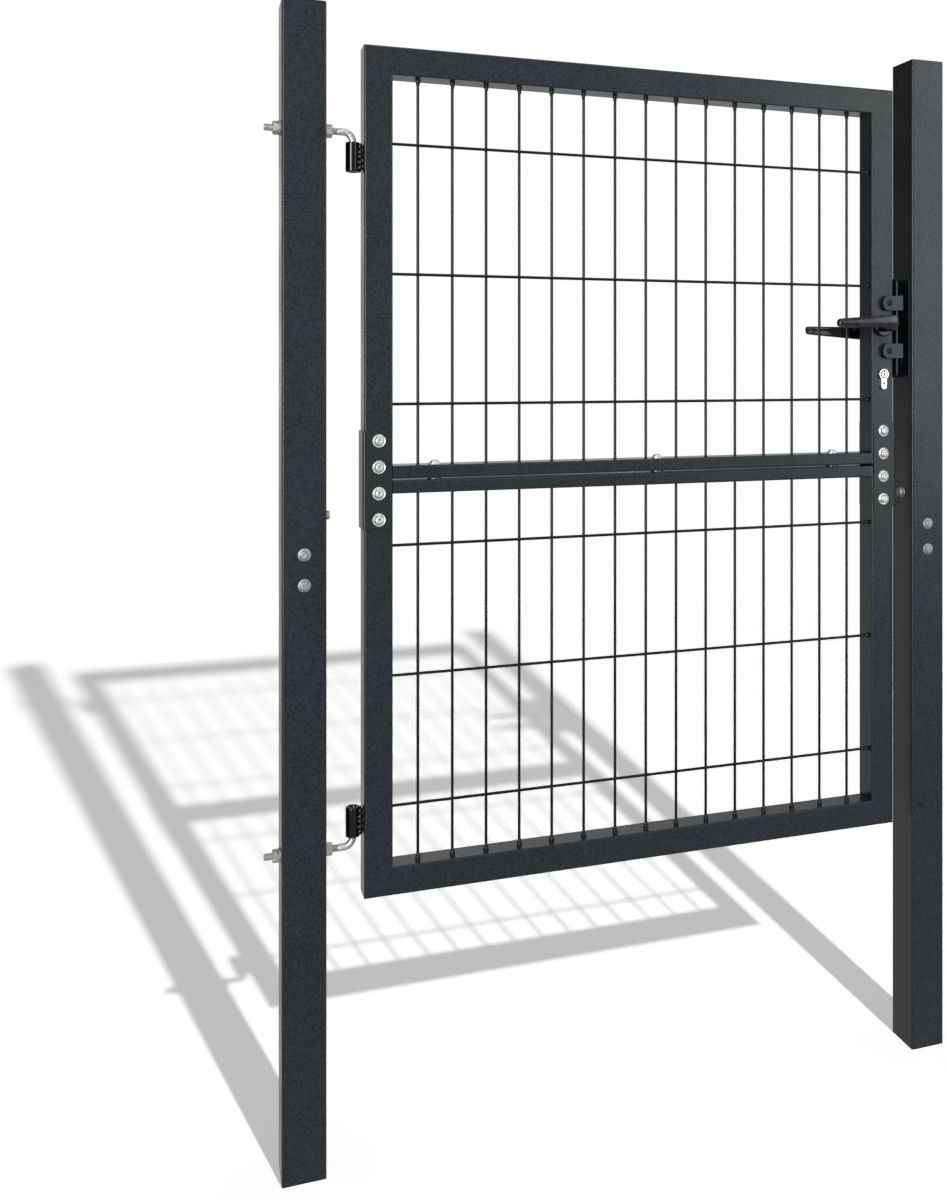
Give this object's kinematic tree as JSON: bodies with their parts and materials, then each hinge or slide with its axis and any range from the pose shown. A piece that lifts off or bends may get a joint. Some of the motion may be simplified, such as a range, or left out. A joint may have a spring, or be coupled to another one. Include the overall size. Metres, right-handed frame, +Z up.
{
  "type": "wire mesh garden gate",
  "caption": "Garden gate with a welded wire mesh leaf in a square tube frame, hung on bent rod hinges between tube posts, with lever handles and a strike channel.",
  "frame": {"origin": "foot of the hinge post, in the middle of its front wall", "axes": "+X from the hinge post to the lock post, +Y from front to back, +Z up"},
  "size_m": [1.08, 0.124, 1.625],
  "materials": {
    "powder_coat": "satin fine-texture anthracite powder coat",
    "mesh_wire": "satin anthracite powder coat",
    "zinc": "bright zinc plate",
    "stainless": "brushed",
    "nickel": "satin nickel",
    "lever_metal": "dark glossy",
    "dark_screw": "satin",
    "black_screw": "black oxide",
    "black_plastic": "satin moulded",
    "rubber": "matte"
  },
  "bodies": {
    "posts": {"hinge_post_lower": "powder_coat", "hinge_post_upper": "powder_coat", "hinge_post_sleeve": "zinc", "hinge_post_cap": "black_plastic", "hinge_post_screws": "dark_screw", "lock_post_lower": "powder_coat", "lock_post_upper": "powder_coat", "lock_post_sleeve": "zinc", "lock_post_cap": "black_plastic", "lock_post_screws": "dark_screw", "upper_hinge_rod": "zinc", "lower_hinge_rod": "zinc", "upper_hinge_nuts": "zinc", "lower_hinge_nuts": "zinc", "strike_channel": "powder_coat", "strike_screws": "zinc", "buffer_pads": "rubber", "buffer_screws": "black_screw"},
    "leaf": {"bottom_rail": "powder_coat", "top_rail": "powder_coat", "left_stile_lower": "powder_coat", "left_stile_upper": "powder_coat", "right_stile_lower": "powder_coat", "right_stile_upper": "powder_coat", "lower_mid_bar": "powder_coat", "upper_mid_bar": "powder_coat", "lower_mesh": "mesh_wire", "upper_mesh": "mesh_wire", "left_sleeve": "powder_coat", "right_sleeve": "powder_coat", "left_sleeve_bolts": "zinc", "right_sleeve_bolts": "zinc", "mid_bar_bolts": "zinc", "upper_hinge_barrel": "powder_coat", "lower_hinge_barrel": "powder_coat", "lock_case": "zinc", "lock_faceplate": "stainless", "lock_bolts": "stainless", "lock_cylinder": "nickel", "front_rose": "black_plastic", "rear_rose": "black_plastic"},
    "handle": {"front_lever": "lever_metal", "rear_lever": "lever_metal", "lever_spindle": "zinc"}
  },
  "joints": [
    {"name": "leaf_swing", "type": "hinge", "parent": "posts", "child": "leaf", "pos_m": [0.069, 0.029, 0.3], "axis": [0, 0, 1], "range_deg": [0, 100]},
    {"name": "handle_turn", "type": "hinge", "parent": "leaf", "child": "handle", "pos_m": [0.9185, 0.029, 1.185], "axis": [0, -1, 0], "range_deg": [0, 40], "stiffness_Nm_per_rad": 1.2, "springref_deg": -28.65}
  ]
}
